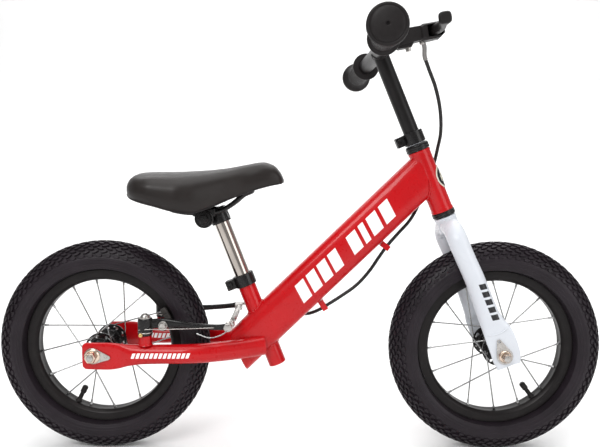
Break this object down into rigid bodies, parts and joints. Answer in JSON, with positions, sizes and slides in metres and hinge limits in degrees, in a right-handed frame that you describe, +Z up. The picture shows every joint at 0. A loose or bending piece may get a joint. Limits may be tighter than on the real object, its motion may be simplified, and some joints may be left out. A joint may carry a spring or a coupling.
{
  "type": "balance bike",
  "caption": "Child's balance bike: sloping tube frame, straight fork, T handlebar with one hand lever, rear rim brake, spoked wheels, adjustable saddle.",
  "frame": {"origin": "on the ground under the middle of the overall length, which is half way between the two axles, on the centre plane", "axes": "+X towards the front wheel, +Y to the rider's left, +Z up"},
  "size_m": [0.871, 0.4258, 0.5916],
  "materials": {
    "red_paint": "gloss enamel",
    "white_paint": "gloss enamel",
    "black_metal": "satin powder coat",
    "steel": "zinc plated",
    "chrome": "polished",
    "rim_black": "satin",
    "tyre": "matte",
    "rubber": "matte",
    "black_plastic": "fine grain",
    "saddle_skin": "soft vinyl, low sheen"
  },
  "bodies": {
    "frame": {"main_tube": "red_paint", "head_tube": "red_paint", "seat_tube": "red_paint", "chainstay_right": "red_paint", "chainstay_left": "red_paint", "brake_boss_right": "red_paint", "brake_boss_left": "red_paint", "headset_upper": "black_metal", "headset_lower": "black_metal", "seat_clamp": "black_metal", "seat_clamp_bolt": "steel", "head_badge": "black_metal", "cable_guide_upper": "red_paint", "cable_guide_lower": "red_paint", "rear_axle": "steel", "rear_nut_right": "steel", "rear_nut_left": "steel", "brake_cable_lower": "black_plastic"},
    "fork": {"fork_steerer": "white_paint", "fork_crown": "white_paint", "fork_leg_right": "white_paint", "fork_leg_left": "white_paint", "bar_clamp": "black_metal", "bar_clamp_bolt": "steel", "front_axle": "steel", "front_nut_right": "steel", "front_nut_left": "steel"},
    "handlebar": {"handlebar_riser": "black_metal", "handlebar_crossbar": "black_metal", "grip_right": "rubber", "grip_left": "rubber", "lever_perch": "black_plastic", "brake_cable_upper": "black_plastic"},
    "brake_lever": {"brake_lever": "black_plastic"},
    "front_wheel": {"front_tyre": "tyre", "front_rim": "rim_black", "front_hub": "rim_black", "front_spokes_right": "steel", "front_spokes_left": "steel", "front_valve": "rubber"},
    "rear_wheel": {"rear_tyre": "tyre", "rear_rim": "rim_black", "rear_hub": "rim_black", "rear_spokes_right": "steel", "rear_spokes_left": "steel", "rear_valve": "rubber"},
    "seat_post": {"seat_post": "chrome", "saddle_clamp": "black_metal", "saddle_clamp_bolt": "steel"},
    "saddle": {"saddle_cover": "saddle_skin", "saddle_base": "black_plastic", "saddle_rails": "black_metal", "rail_clamp_right": "black_metal", "rail_clamp_left": "black_metal"},
    "brake_arm_right": {"brake_arm_right": "black_metal", "brake_pad_right": "rubber", "brake_wire": "steel"},
    "brake_arm_left": {"brake_arm_left": "black_metal", "brake_pad_left": "rubber", "brake_noodle": "steel"}
  },
  "joints": [
    {"name": "steering", "type": "hinge", "parent": "frame", "child": "fork", "pos_m": [0.205, 0, 0.349], "axis": [-0.3875, 0, 0.9219], "range_deg": [-60, 60], "deforming": ["brake_cable_upper"]},
    {"name": "bar_height", "type": "slide", "parent": "fork", "child": "handlebar", "axis": [-0.3875, 0, 0.9219], "range_m": [-0.05, 0.02], "deforming": ["brake_cable_upper"]},
    {"name": "brake_lever", "type": "hinge", "parent": "handlebar", "child": "brake_lever", "pos_m": [0.16752, -0.095, 0.58055], "axis": [0.1702, 0, -0.9854], "range_deg": [0, 20], "stiffness_Nm_per_rad": 0.6, "springref_deg": -8.59},
    {"name": "front_wheel_spin", "type": "hinge", "parent": "fork", "child": "front_wheel", "pos_m": [0.283, 0, 0.1525], "axis": [0, 1, 0], "continuous": true},
    {"name": "rear_wheel_spin", "type": "hinge", "parent": "frame", "child": "rear_wheel", "pos_m": [-0.283, 0, 0.1525], "axis": [0, 1, 0], "continuous": true},
    {"name": "seat_height", "type": "slide", "parent": "frame", "child": "seat_post", "axis": [-0.361, 0, 0.9326], "range_m": [-0.045, 0.055]},
    {"name": "saddle_tilt", "type": "hinge", "parent": "seat_post", "child": "saddle", "pos_m": [-0.134, 0, 0.3385], "axis": [0, 1, 0], "range_deg": [-12, 12]},
    {"name": "brake_arm_right", "type": "hinge", "parent": "frame", "child": "brake_arm_right", "pos_m": [-0.212, -0.0535, 0.1955], "axis": [0, 0, 1], "range_deg": [0, 3.6], "deforming": ["brake_wire"]},
    {"name": "brake_arm_left", "type": "hinge", "parent": "frame", "child": "brake_arm_left", "pos_m": [-0.212, 0.0535, 0.1955], "axis": [0, 0, -1], "range_deg": [0, 3.6], "deforming": ["brake_cable_lower"]}
  ],
  "couplings": [
    {"joint": "brake_arm_right", "follows": "brake_lever", "ratio": 0.175},
    {"joint": "brake_arm_left", "follows": "brake_lever", "ratio": 0.175}
  ]
}
